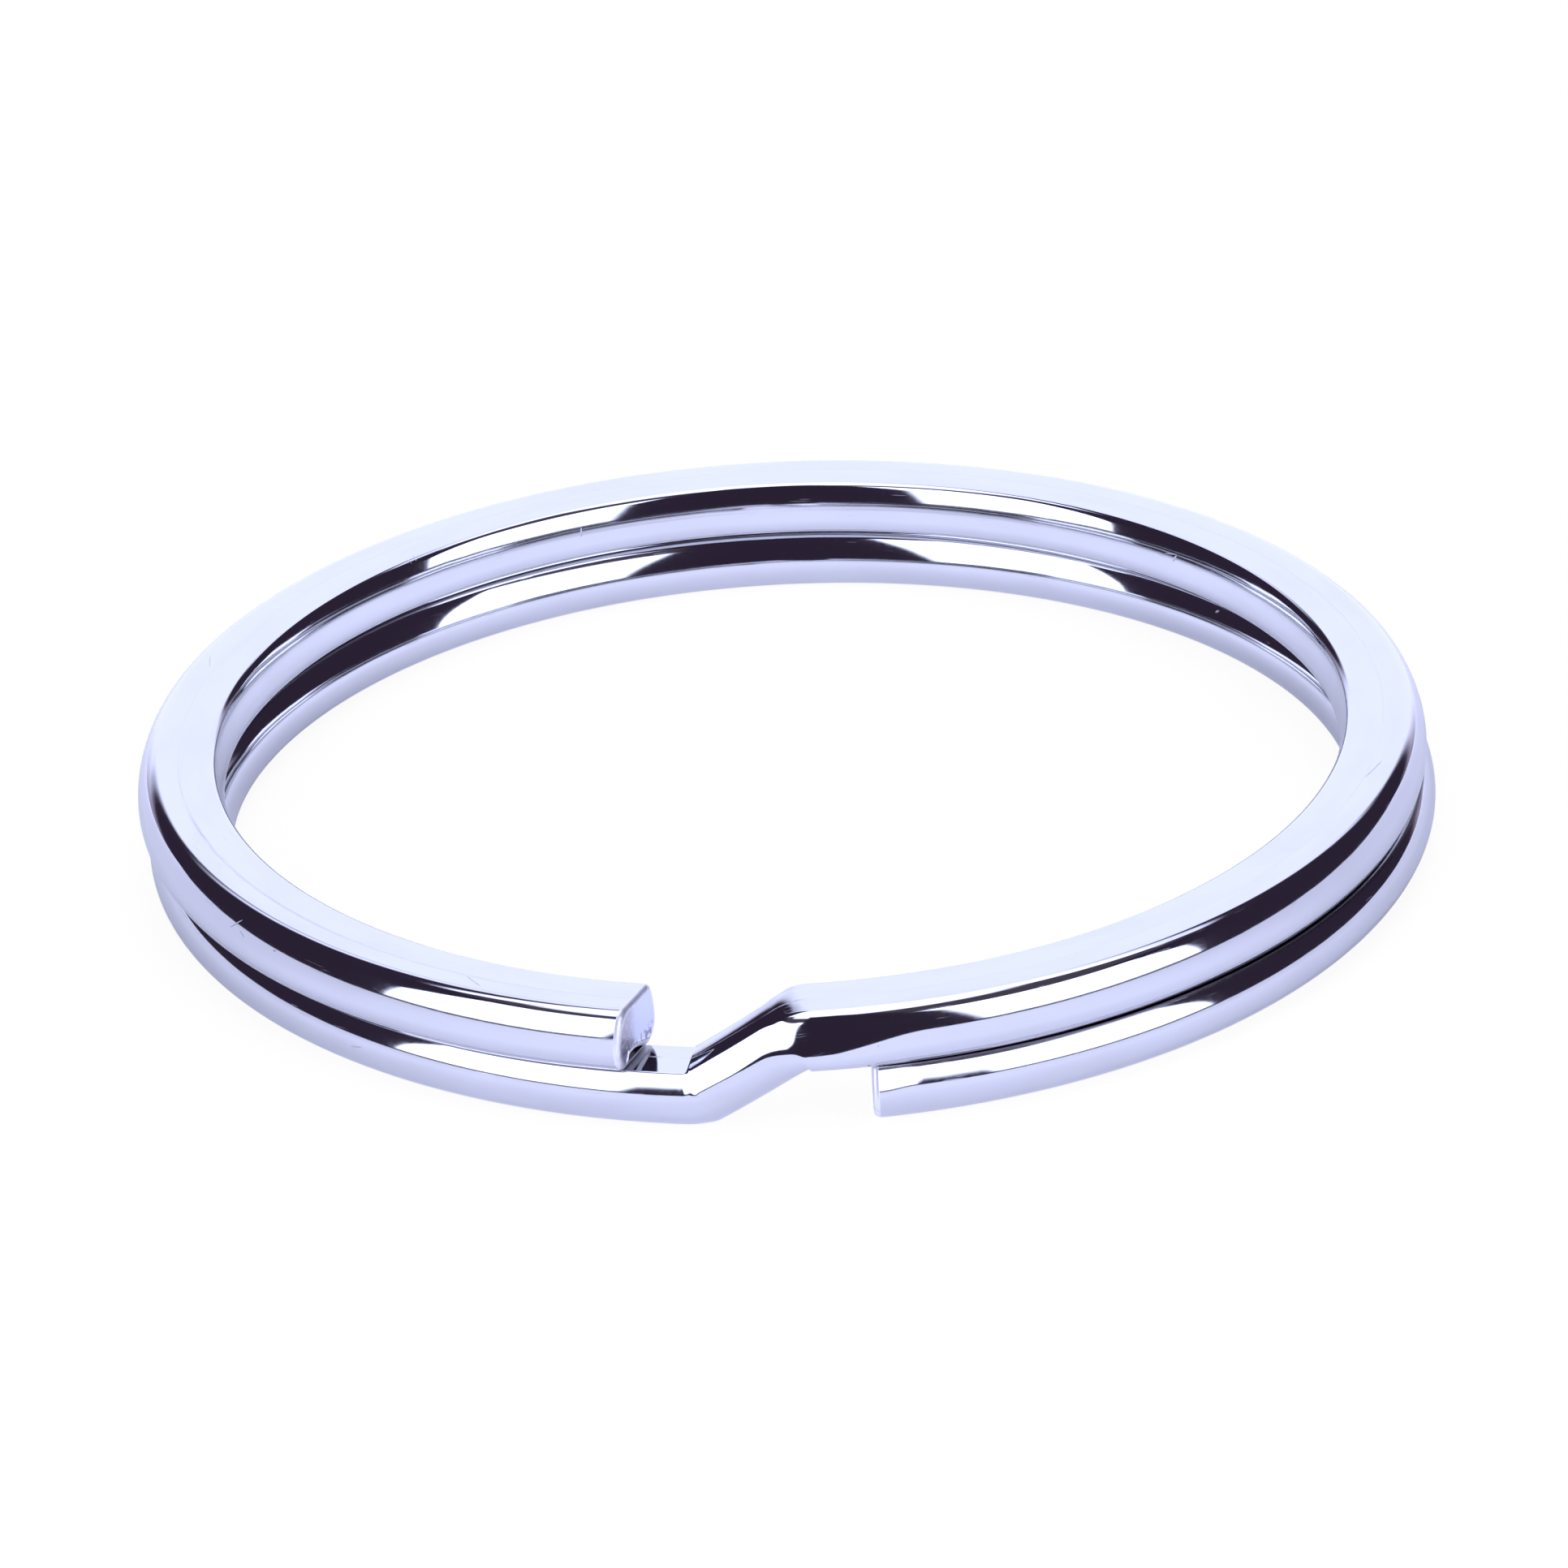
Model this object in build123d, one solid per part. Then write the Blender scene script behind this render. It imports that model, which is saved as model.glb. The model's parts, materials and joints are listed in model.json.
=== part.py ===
from build123d import *
import os
from math import asin, atan2, cos, degrees, hypot, pi, radians, sin, sqrt, tan

# Split key ring: one springy steel wire, flattened top and bottom, wound into two turns that
# lie on each other. The wire starts at a square-cut end in the lower coil, runs once round,
# climbs a short pressed step at the front and runs once more round to the end of the upper
# coil. Each solid is one stretch of that single wire. Neighbouring stretches share their
# end plane, and the wire twists at those planes when a free end is pulled away.
#
# Frame: the ring lies flat, +Z up, with the origin on its axis, midway between its faces.
# Angles are in degrees, counter-clockwise from above, from the front (-Y) where the step is:
# 0 is the front, 90 the right side (+X), 180 the back and 270 the left side.

# Driving dimensions, in millimetres
RING_OUTER_DIAMETER = 30.0  # across both coils, along X
WIRE_WIDTH = 1.90           # radial size of the wire, where its rounded sides stand out most
WIRE_HEIGHT = 1.38          # between the wire's two flats
FLAT_WIDTH = 1.08           # width of each flat, before its edges are rounded
CREASE_RADIUS = 0.12        # rounding where a flat meets a side
COIL_GAP = 0.05             # running clearance between the coils, which the twist needs
COIL_SHIFT = 0.09           # the lower coil sits this far to the right, the upper to the left
STEP_BEND_RADIUS = 0.85     # centre-line radius of the step's two bends
STEP_LEAD = 0.10            # level wire kept beyond each bend of the step
END_BREAK = 0.06            # broken edge round each cut end

# Driving angles, in degrees
STEP_FOOT_ANGLE = -9.6      # where the ramp's centre line would meet the lower coil's
STEP_HEAD_ANGLE = 0.3       # where it would meet the upper coil's
LOWER_END_ANGLE = 5.6       # cut end of the lower coil
UPPER_END_ANGLE = 345.5     # cut end of the upper coil
UPPER_END_SKEW = 10.0       # the upper end is cut askew, with its outer side the shorter one
RIGHT, BACK, LEFT = 90.0, 180.0, 270.0

# Derived sizes
COIL_RADIUS = (RING_OUTER_DIAMETER - 2 * COIL_SHIFT - WIRE_WIDTH) / 2
COIL_PITCH = WIRE_HEIGHT + COIL_GAP
LOWER_LEVEL = -COIL_PITCH / 2
UPPER_LEVEL = COIL_PITCH / 2
FOOT_X = COIL_SHIFT + COIL_RADIUS * sin(radians(STEP_FOOT_ANGLE))
HEAD_X = -COIL_SHIFT + COIL_RADIUS * sin(radians(STEP_HEAD_ANGLE))
RAMP_ANGLE = atan2(COIL_PITCH, HEAD_X - FOOT_X)
BEND_REACH = STEP_BEND_RADIUS * tan(RAMP_ANGLE / 2)
STEP_START_X = FOOT_X - BEND_REACH - STEP_LEAD
STEP_END_X = HEAD_X + BEND_REACH + STEP_LEAD
STEP_START_ANGLE = degrees(asin((STEP_START_X - COIL_SHIFT) / COIL_RADIUS))
STEP_END_ANGLE = degrees(asin((STEP_END_X + COIL_SHIFT) / COIL_RADIUS))

STEP_STATIONS = 49          # cross-sections that the step is drawn through
TANGENT_SPAN = 1e-4         # half-length over which the step's direction is taken
OVERCUT_ANGLE = 4.0         # extra wire that the skewed cut removes


def wire_section():
    """The wire's cross-section: two flats, two arched sides, rounded creases."""
    flat = FLAT_WIDTH / 2
    top = WIRE_HEIGHT / 2
    side = WIRE_WIDTH / 2
    outline = [
        Line((-flat, top), (flat, top)),
        ThreePointArc((flat, top), (side, 0), (flat, -top)),
        Line((flat, -top), (-flat, -top)),
        ThreePointArc((-flat, -top), (-side, 0), (-flat, top)),
    ]
    sharp = make_face(outline)
    return fillet(sharp.vertices(), CREASE_RADIUS)


def section_on(centre, radial, travel):
    """The cross-section placed at a point of the centre line."""
    return Plane(origin=centre, x_dir=radial, z_dir=travel) * wire_section()


def coil_point(centre_x, level, angle):
    """Centre-line point, outward direction and travel direction of a coil."""
    turn = radians(angle)
    outward = Vector(sin(turn), -cos(turn), 0)
    travel = Vector(cos(turn), sin(turn), 0)
    centre = Vector(centre_x, 0, level) + outward * COIL_RADIUS
    return centre, outward, travel


def coil_stretch(centre_x, level, start_angle, end_angle):
    """A stretch of one level coil between two angles."""
    section = section_on(*coil_point(centre_x, level, start_angle))
    axis = Axis((centre_x, 0, 0), (0, 0, 1))
    return revolve(section, axis=axis, revolution_arc=end_angle - start_angle)


def lower_stretch(start_angle, end_angle):
    return coil_stretch(COIL_SHIFT, LOWER_LEVEL, start_angle, end_angle)


def upper_stretch(start_angle, end_angle):
    return coil_stretch(-COIL_SHIFT, UPPER_LEVEL, start_angle, end_angle)


def bend_rise(reach):
    """Height gained in a bend, at a horizontal distance from where the bend starts."""
    return STEP_BEND_RADIUS - sqrt(STEP_BEND_RADIUS**2 - reach**2)


def step_height(x):
    """Height of the step's centre line: level, bend, straight ramp, bend, level."""
    bend_run = STEP_BEND_RADIUS * sin(RAMP_ANGLE)
    from_foot = x - (FOOT_X - BEND_REACH)
    from_head = (HEAD_X + BEND_REACH) - x
    if from_foot <= 0:
        return LOWER_LEVEL
    if from_head <= 0:
        return UPPER_LEVEL
    if from_foot < bend_run:
        return LOWER_LEVEL + bend_rise(from_foot)
    if from_head < bend_run:
        return UPPER_LEVEL - bend_rise(from_head)
    return LOWER_LEVEL + (x - FOOT_X) * tan(RAMP_ANGLE)


def step_point(x):
    """Centre line of the step. Its plan passes smoothly from one coil's circle to the other's."""
    share = min(max((x - FOOT_X) / (HEAD_X - FOOT_X), 0.0), 1.0)
    eased = share * share * (3 - 2 * share)
    centre_x = COIL_SHIFT * (1 - 2 * eased)
    return Vector(x, -sqrt(COIL_RADIUS**2 - (x - centre_x) ** 2), step_height(x))


def step_section(x):
    """Cross-section of the step at x, square to its centre line, with level creases."""
    travel = (step_point(x + TANGENT_SPAN) - step_point(x - TANGENT_SPAN)).normalized()
    plan_length = hypot(travel.X, travel.Y)
    outward = Vector(travel.Y / plan_length, -travel.X / plan_length, 0)
    return section_on(step_point(x), outward, travel)


def step_stretch():
    """The pressed step, drawn through closely spaced cross-sections."""
    spacing = (STEP_END_X - STEP_START_X) / (STEP_STATIONS - 1)
    sections = [section_on(*coil_point(COIL_SHIFT, LOWER_LEVEL, STEP_START_ANGLE))]
    sections += [step_section(STEP_START_X + i * spacing) for i in range(1, STEP_STATIONS - 1)]
    sections += [section_on(*coil_point(-COIL_SHIFT, UPPER_LEVEL, STEP_END_ANGLE))]
    return loft(sections)


def break_end(stretch, centre):
    """Break the sharp edge round the cut end that is nearest to a point."""
    end_face = stretch.faces().sort_by_distance(centre)[0]
    return chamfer(end_face.edges(), END_BREAK)


def lower_end_stretch():
    """From the lower coil's square-cut end to the right side."""
    centre = coil_point(COIL_SHIFT, LOWER_LEVEL, LOWER_END_ANGLE)[0]
    return break_end(lower_stretch(LOWER_END_ANGLE, RIGHT), centre)


def upper_end_stretch():
    """From the left side to the upper coil's end, which is cut askew."""
    centre, outward, travel = coil_point(-COIL_SHIFT, UPPER_LEVEL, UPPER_END_ANGLE)
    skew = radians(UPPER_END_SKEW)
    cut_normal = travel * cos(skew) + outward * sin(skew)
    whole = upper_stretch(LEFT, UPPER_END_ANGLE + OVERCUT_ANGLE)
    kept = split(whole, bisect_by=Plane(origin=centre, z_dir=cut_normal), keep=Keep.BOTTOM)
    return break_end(kept, centre)


def build_stretches():
    """Every node of the ring, in the order in which the wire runs."""
    return {
        "lower_free_end": lower_end_stretch(),
        "lower_coil_back_right": lower_stretch(RIGHT, BACK),
        "lower_coil_back_left": lower_stretch(BACK, LEFT),
        "lower_coil_front_left": lower_stretch(LEFT, 360 + STEP_START_ANGLE),
        "crossover_step": step_stretch(),
        "upper_coil_front_right": upper_stretch(STEP_END_ANGLE, RIGHT),
        "upper_coil_back_right": upper_stretch(RIGHT, BACK),
        "upper_coil_back_left": upper_stretch(BACK, LEFT),
        "upper_free_end": upper_end_stretch(),
    }


os.makedirs("parts", exist_ok=True)
for name, stretch in build_stretches().items():
    stretch.label = name
    export_step(stretch, f"parts/{name}.step")
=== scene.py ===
import json
from math import asin, atan2, cos, degrees, exp, hypot, pi, radians, sin, sqrt, tan

import bpy
from mathutils import Matrix, Vector, noise


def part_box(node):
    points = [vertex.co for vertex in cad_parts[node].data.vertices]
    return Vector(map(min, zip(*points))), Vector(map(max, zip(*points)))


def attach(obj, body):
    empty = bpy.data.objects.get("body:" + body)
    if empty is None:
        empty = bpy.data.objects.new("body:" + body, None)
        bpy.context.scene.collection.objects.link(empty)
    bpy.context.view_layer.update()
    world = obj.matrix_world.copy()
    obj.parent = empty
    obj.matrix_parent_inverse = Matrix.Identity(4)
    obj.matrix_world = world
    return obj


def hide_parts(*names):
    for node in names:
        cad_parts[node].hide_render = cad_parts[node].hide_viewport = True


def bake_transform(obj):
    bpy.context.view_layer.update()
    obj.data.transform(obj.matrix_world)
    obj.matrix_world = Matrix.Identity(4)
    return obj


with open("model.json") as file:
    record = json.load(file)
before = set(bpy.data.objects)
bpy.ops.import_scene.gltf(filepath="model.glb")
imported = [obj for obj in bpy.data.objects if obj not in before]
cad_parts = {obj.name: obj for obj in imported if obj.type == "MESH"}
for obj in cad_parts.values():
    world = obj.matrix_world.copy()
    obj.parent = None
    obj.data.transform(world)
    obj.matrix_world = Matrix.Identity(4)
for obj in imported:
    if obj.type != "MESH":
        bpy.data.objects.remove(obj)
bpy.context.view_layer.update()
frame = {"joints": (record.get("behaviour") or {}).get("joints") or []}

# Split key ring: one plated steel wire in two turns, lying on its face on a pale floor, in a
# light tent. The wire is drawn as nine pieces that meet halfway between the CAD's bending
# planes, so that each bend falls inside a piece.
#
# Angles are in degrees, counter-clockwise from above, from the front (-Y): 90 is the right
# side (+X). The wire runs once round the lower turn, up the step and once round the upper one.

MM = 0.001

# The step, the same as the CAD's
STEP_BEND_RADIUS = 0.85 * MM
STEP_LEAD = 0.10 * MM       # level wire beyond each bend
STEP_FOOT_ANGLE = -9.6
STEP_HEAD_ANGLE = 0.3

# The cut ends
LOWER_END_ANGLE = 5.9
UPPER_END_ANGLE = 345.5
LOWER_END_SKEW = 0.10       # slope of the lower end's cut, which leans away from the front
UPPER_END_SKEW = tan(radians(10.0))     # slope of the upper end's cut
SKEW_LENGTH = 6.0           # degrees of coil over which the sections turn to the skewed cut
EDGE_BREAK = 0.13 * MM      # rounding round each cut end

# Where the upper end's cut turns into a tear: the lowest of a level line and two slanting
# ones, given by their height at the section's middle and their slope towards the outside
TEAR_LEVEL = -0.37 * MM
TEAR_INNER = -0.41 * MM
TEAR_INNER_SLOPE = 0.30
TEAR_OUTER = 0.47 * MM
TEAR_OUTER_SLOPE = -1.7

# Relief of the cut ends
GRAIN_SIZE = 0.12 * MM
GRAIN_DEPTH = 0.006 * MM
LIP_HEIGHT = 0.035 * MM     # raised lip along the tear
LIP_WIDTH = 0.055 * MM
FALL_DEPTH = 0.12 * MM      # how far the torn part falls away
FALL_WIDTH = 0.22 * MM
CAP_RINGS = 44              # rings of points from a cut end's rim to its middle
CAP_RIM_RINGS = 4           # the relief fades out over the outermost ones

# The section
FLAT_CROWN = 0.004 * MM     # the flats are rolled very slightly round
UPPER_SAG = 0.028 * MM      # the upper turn's underside reaches further down than its top up


class SideShape:
    """One side of the section, in millimetres."""

    def __init__(self, top_flat, tip_rise, bottom_flat, top_crease, bottom_crease, side=0.95):
        self.top_flat = top_flat * MM           # from the wire's middle to the top flat's edge
        self.tip_rise = tip_rise * MM           # height of the side's outermost point
        self.bottom_flat = bottom_flat * MM     # from the middle to the bottom flat's edge
        self.top_crease = top_crease * MM       # rounding radii of the two edges
        self.bottom_crease = bottom_crease * MM
        self.side = side * MM                   # from the middle to the outermost point


# Coiling squeezes the two turns out of true, so each side of each turn has its own shape
UPPER_OUTER = SideShape(0.62, -0.20, 0.71, 0.42, 0.05)
UPPER_INNER = SideShape(0.84, -0.19, 0.63, 0.20, 0.05, 1.05)
LOWER_OUTER = SideShape(0.67, 0.00, 0.43, 0.05, 0.12)
LOWER_INNER = SideShape(0.56, -0.18, 0.54, 0.06, 0.12)
STEP_OUTER = SideShape(0.49, 0.00, 0.55, 0.45, 0.12)
STEP_INNER = SideShape(0.62, -0.10, 0.60, 0.20, 0.12)

# What the tools did to the wire. The step's side shapes above are in its mesh, but the lean,
# press, swing and roll below are in the normals alone.
PRESSED_SLOPES = (12.0, 28.0)   # slopes of the wire at which the step's shape sets in and is full
PRESSED_END = 0.7           # share of the step's length after which its shape fades out
CREST_START = -0.65 * MM    # where, across the wire, the step's top starts to lean out
CREST_SPAN = 1.40 * MM      # width over which the lean grows
CREST_REST = radians(33.0)  # the slope of the step's side, which the lean leads over to
CREST_SHARE = 0.95          # how nearly it gets there
HEAD_PRESS = radians(17.0)  # how far the press turned the wire's side up, at the step's head
HEAD_PRESS_RISE = 3.0       # degrees of coil over which that sets in, before the head
HEAD_PRESS_SPAN = 11.0      # degrees of coil over which it fades out, after the head
PRESS_TOP = radians(52.0)   # normals that point up more than this aren't turned
PRESS_TOP_SOFT = radians(45.0)
PRESS_BOTTOM_SOFT = radians(50.0)
FOOT_STRAIGHT = -14.6       # angle from which the wire runs straight towards the step
FOOT_STRAIGHT_LENGTH = 4.5  # degrees of coil that it does so
FOOT_SLOPES = (5.0, 20.0)   # slopes between which the step's own direction takes over
END_STRAIGHT = 15.2         # the lower end is straight from this angle to its cut, not coiled
END_SWING = radians(5.0)    # how far its last bit is bent in
END_SWING_START = 9.8       # angle at which that bend sets in, towards the cut
END_SWING_SPAN = 1.5        # degrees of coil over which it does
END_ROLL = radians(5.0)     # how far the shears rolled the lower end's outer side over
END_ROLL_SPAN = 4.0         # degrees of coil over which that fades out

# Fineness of the meshes
COIL_STEP = 0.5             # degrees of coil between cross-sections
RAMP_STATIONS = 90          # spaces between cross-sections on the step
SIDE_POINTS = 30            # points of the section on each half of a side
CREASE_POINTS = 7           # and on each crease
FLAT_POINTS = 10            # and on each half of a flat
END_STATIONS = 10           # cross-sections of the rounded edge at a cut end

# The angles at which the pieces meet
FRONT_RIGHT, BACK_RIGHT, BACK_LEFT, FRONT_LEFT = 45, 135, 225, 315
BEND_MARGIN = 5             # degrees in from each end of a piece that spans a hinge


# ---------------------------------------------------------------- the wire's centre line

def joint_place(name):
    """Where a joint sits, in the row frame."""
    for joint in frame["joints"]:
        if joint["name"] == name:
            return Vector(joint["pos_m"])
    raise KeyError(name)


class Coil:
    """One level turn: the circle that its centre line follows."""

    def __init__(self, right_joint, left_joint, climb):
        right = joint_place(right_joint)
        left = joint_place(left_joint)
        self.climb = climb      # 0 for the lower turn, 1 for the upper
        self.centre_x = (right.x + left.x) / 2
        self.radius = (right.x - left.x) / 2
        self.level = right.z

    def place(self, angle):
        """Centre line, outward direction and travel direction at an angle."""
        turn = radians(angle)
        outward = Vector((sin(turn), -cos(turn), 0))
        travel = Vector((cos(turn), sin(turn), 0))
        centre = Vector((self.centre_x, 0, self.level)) + outward * self.radius
        return centre, outward, travel

    def angle_at(self, x):
        return degrees(asin((x - self.centre_x) / self.radius))


upper = Coil("upper_twist_at_right", "upper_twist_at_left", 1.0)
lower = Coil("lower_twist_at_right", "lower_twist_at_left", 0.0)

side_low, side_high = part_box("upper_coil_back_right")
WIRE_WIDTH = 2 * (side_high[0] - upper.centre_x - upper.radius)
WIRE_HEIGHT = side_high[2] - side_low[2]

foot_x = lower.centre_x + lower.radius * sin(radians(STEP_FOOT_ANGLE))
head_x = upper.centre_x + upper.radius * sin(radians(STEP_HEAD_ANGLE))
ramp_angle = atan2(upper.level - lower.level, head_x - foot_x)
bend_reach = STEP_BEND_RADIUS * tan(ramp_angle / 2)
step_start_x = foot_x - bend_reach - STEP_LEAD
step_end_x = head_x + bend_reach + STEP_LEAD


def bend_rise(reach):
    """Height gained in a bend, at a horizontal distance from where the bend starts."""
    return STEP_BEND_RADIUS - sqrt(STEP_BEND_RADIUS**2 - reach**2)


def step_height(x):
    """Height of the step's centre line: level, bend, straight ramp, bend, level."""
    bend_run = STEP_BEND_RADIUS * sin(ramp_angle)
    from_foot = x - (foot_x - bend_reach)
    from_head = (head_x + bend_reach) - x
    if from_foot <= 0:
        return lower.level
    if from_head <= 0:
        return upper.level
    if from_foot < bend_run:
        return lower.level + bend_rise(from_foot)
    if from_head < bend_run:
        return upper.level - bend_rise(from_head)
    return lower.level + (x - foot_x) * tan(ramp_angle)


def eased(share):
    """0 to 1 with a soft start and a soft end."""
    share = min(max(share, 0.0), 1.0)
    return share * share * (3 - 2 * share)


def step_point(x):
    """Centre line of the step. Its plan passes smoothly from one turn's circle to the other's."""
    share = eased((x - foot_x) / (head_x - foot_x))
    centre_x = lower.centre_x + (upper.centre_x - lower.centre_x) * share
    radius = lower.radius + (upper.radius - lower.radius) * share
    return Vector((x, -sqrt(radius**2 - (x - centre_x) ** 2), step_height(x)))


def step_place(x):
    """The step's centre line, outward direction and travel direction at x."""
    span = 1e-4 * MM
    travel = (step_point(x + span) - step_point(x - span)).normalized()
    plan = hypot(travel.x, travel.y)
    outward = Vector((travel.y / plan, -travel.x / plan, 0))
    return step_point(x), outward, travel


# ---------------------------------------------------------------- the wire's cross-section

def side_profile(side, flat, height, crease):
    """From the middle of a flat to the side's outermost point: (x, height over it, angle)."""
    reach = side - flat
    radius = (height**2 + reach**2) / (2 * reach)
    arc_x = side - radius
    crease_z = height - crease
    crease_x = arc_x + sqrt((radius - crease) ** 2 - crease_z**2)
    join = atan2(crease_z, crease_x - arc_x)
    profile = []
    for i in range(FLAT_POINTS):
        share = i / FLAT_POINTS
        lean = 2 * FLAT_CROWN * share / crease_x
        profile.append((crease_x * share, height - FLAT_CROWN * share**2, pi / 2 - lean))
    for i in range(CREASE_POINTS):
        a = pi / 2 + (join - pi / 2) * i / CREASE_POINTS
        profile.append((crease_x + crease * cos(a), crease_z + crease * sin(a), a))
    for i in range(SIDE_POINTS):
        a = join * (1 - i / SIDE_POINTS)
        profile.append((arc_x + radius * cos(a), radius * sin(a), a))
    return profile


def half_outline(shape, top, bottom):
    """From the top flat's middle over one side to the bottom's: (x, z, normal's angle)."""
    tip = shape.tip_rise
    above = side_profile(shape.side, shape.top_flat, top - tip, shape.top_crease)
    below = side_profile(shape.side, shape.bottom_flat, tip - bottom, shape.bottom_crease)
    outline = [(x, tip + z, a) for x, z, a in above]
    outline.append((shape.side, tip, 0.0))
    return outline + [(x, tip - z, -a) for x, z, a in reversed(below)]


def section_outline(outer_shape, inner_shape, sag):
    """The whole section, over the outer side first and back up the inner side."""
    top, bottom = WIRE_HEIGHT / 2, -WIRE_HEIGHT / 2 - sag
    outer = half_outline(outer_shape, top, bottom)
    inner = half_outline(inner_shape, top, bottom)
    return outer + [(-x, z, pi - a) for x, z, a in reversed(inner[1:-1])]


UPPER_OUTLINE = section_outline(UPPER_OUTER, UPPER_INNER, UPPER_SAG)
LOWER_OUTLINE = section_outline(LOWER_OUTER, LOWER_INNER, 0.0)
STEP_OUTLINE = section_outline(STEP_OUTER, STEP_INNER, 0.0)


def blend_outlines(first, second, share):
    pairs = zip(first, second)
    return [tuple(a + (b - a) * share for a, b in zip(p, q)) for p, q in pairs]


def outline_at(climb, pressed):
    """From the lower turn's shape (climb 0) to the upper's (1), and how far it is pressed."""
    turn = blend_outlines(LOWER_OUTLINE, UPPER_OUTLINE, climb)
    return blend_outlines(turn, STEP_OUTLINE, pressed)


def around_lengths():
    """Distance round the section to each outline point."""
    lengths = [0.0]
    for (x0, z0, _), (x1, z1, _) in zip(UPPER_OUTLINE, UPPER_OUTLINE[1:]):
        lengths.append(lengths[-1] + hypot(x1 - x0, z1 - z0))
    return lengths


AROUND = around_lengths()
OUTER_INDEX = max(range(len(UPPER_OUTLINE)), key=lambda i: UPPER_OUTLINE[i][0])     # outermost point
INNER_INDEX = min(range(len(UPPER_OUTLINE)), key=lambda i: UPPER_OUTLINE[i][0])     # innermost point


# ---------------------------------------------------------------- sweeping a piece of wire

PLATED, SHEARED = 0, 1      # places in each piece's list of materials


class Station:
    """A cross-section of the wire: its place, its shape and how its normals are turned."""

    def __init__(self, place, along, climb, inset=0.0, lean=0.0, skew=0.0, pressed=0.0):
        self.centre, self.outward, self.travel = place
        self.along = along      # distance along the wire
        self.outline = outline_at(climb, pressed)
        self.press = 0.0        # how far the press turned the outer side up
        self.crest = pressed    # how much of the step's outward lean the normals get
        self.swing = 0.0        # how far the normals swing along the wire, on a straight end
        self.inset = inset      # how far the outline is drawn in, at a broken edge
        self.lean = lean        # how far the normals lean along the wire there
        self.skew = skew        # slope of the station against the square cut
        self.finish = PLATED    # what covers the wire from here to the next station

    def drawn_in(self, x, z):
        """A point of the section, moved in by the inset."""
        return x * (1 - self.inset / (WIRE_WIDTH / 2)), z * (1 - self.inset / (WIRE_HEIGHT / 2))


def pressed_share(angle):
    """How much of the press's turn a normal gets: most of it on the lower outer side."""
    from_top = eased((PRESS_TOP - angle) / PRESS_TOP_SOFT)
    from_bottom = eased((angle + pi / 2) / PRESS_BOTTOM_SOFT)
    return from_top * from_bottom


def crest_lean(x, angle):
    """How far the step's top leans out: more and more, until it is nearly as steep as its side."""
    share = min(max((x - CREST_START) / CREST_SPAN, 0.0), 1.0) ** 2
    return CREST_SHARE * share * max(angle - CREST_REST, 0.0)


def ring_of(station, finish):
    """Points, normals and surface coordinates of one station.

    The coordinates run along and round plated wire, and across and up a sheared end, where the
    third one marks the rim.
    """
    up = station.travel.cross(station.outward) * -1
    points, normals, coords = [], [], []
    for (x, z, angle), around in zip(station.outline, AROUND):
        inset_x, inset_z = station.drawn_in(x, z)
        shift = -inset_x * station.skew
        point = station.centre + station.outward * inset_x + up * inset_z
        points.append(point + station.travel * shift)
        turned = angle + station.press * pressed_share(angle)
        turned -= station.crest * crest_lean(x, angle)
        normal = station.outward * cos(turned) + up * sin(turned)
        normal += station.travel * tan(station.swing) * cos(turned)
        normal = normal * cos(station.lean) + station.travel * sin(station.lean)
        normals.append(normal.normalized())
        coords.append((inset_x, inset_z, MM) if finish == SHEARED else (station.along, around, 0.0))
    return points, normals, coords


class Piece:
    """Gathers points and faces, then makes a mesh object with exact normals."""

    def __init__(self, name):
        self.name = name
        self.points, self.normals, self.coords = [], [], []
        self.faces, self.face_materials = [], []

    def add_ring(self, ring):
        """Take a ring's points in, and return their numbers."""
        first = len(self.points)
        points, normals, coords = ring
        self.points += points
        self.normals += normals
        self.coords += coords
        return range(first, first + len(points))

    def bridge(self, a, b, material):
        """Faces between two rings."""
        count = len(a)
        for i in range(count):
            j = (i + 1) % count
            self.faces.append((a[i], a[j], b[j], b[i]))
            self.face_materials.append(material)

    def build(self, materials):
        """The mesh object. Its attribute "wire" holds the surface coordinates in millimetres."""
        mesh = bpy.data.meshes.new(self.name)
        mesh.from_pydata([tuple(p) for p in self.points], [], self.faces)
        for material in materials:
            mesh.materials.append(material)
        mesh.polygons.foreach_set("material_index", self.face_materials)
        mesh.polygons.foreach_set("use_smooth", [True] * len(self.faces))
        wire = mesh.attributes.new("wire", "FLOAT_VECTOR", "POINT")
        wire.data.foreach_set("vector", [v / MM for place in self.coords for v in place])
        mesh.update()
        mesh.normals_split_custom_set_from_vertices([tuple(n) for n in self.normals])
        obj = bpy.data.objects.new(self.name, mesh)
        bpy.context.collection.objects.link(obj)
        return obj


def plain_shear(x, z):
    """Relief of a sheared end face (metres), at a place across and up the section."""
    where = Vector((x, z, 0)) / GRAIN_SIZE
    return GRAIN_DEPTH * (noise.noise(where) + 0.5 * noise.noise(where * 2.7))


def above_tear(x, z):
    """Height over the line where the shear's cut ends and the torn part starts."""
    inner_part = TEAR_INNER + TEAR_INNER_SLOPE * x
    outer_part = TEAR_OUTER + TEAR_OUTER_SLOPE * x
    return z - min(TEAR_LEVEL, inner_part, outer_part)


def torn_shear(x, z):
    """The upper end: a smooth cut, then a raised lip, then a torn part that falls away."""
    height = above_tear(x, z)
    lip = LIP_HEIGHT * exp(-((height / LIP_WIDTH) ** 2))
    fall = FALL_DEPTH * eased(-height / FALL_WIDTH)
    rough_share = 0.25 + 0.75 * eased(x / (0.5 * MM))
    return lip - fall + plain_shear(x, z) * rough_share


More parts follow.
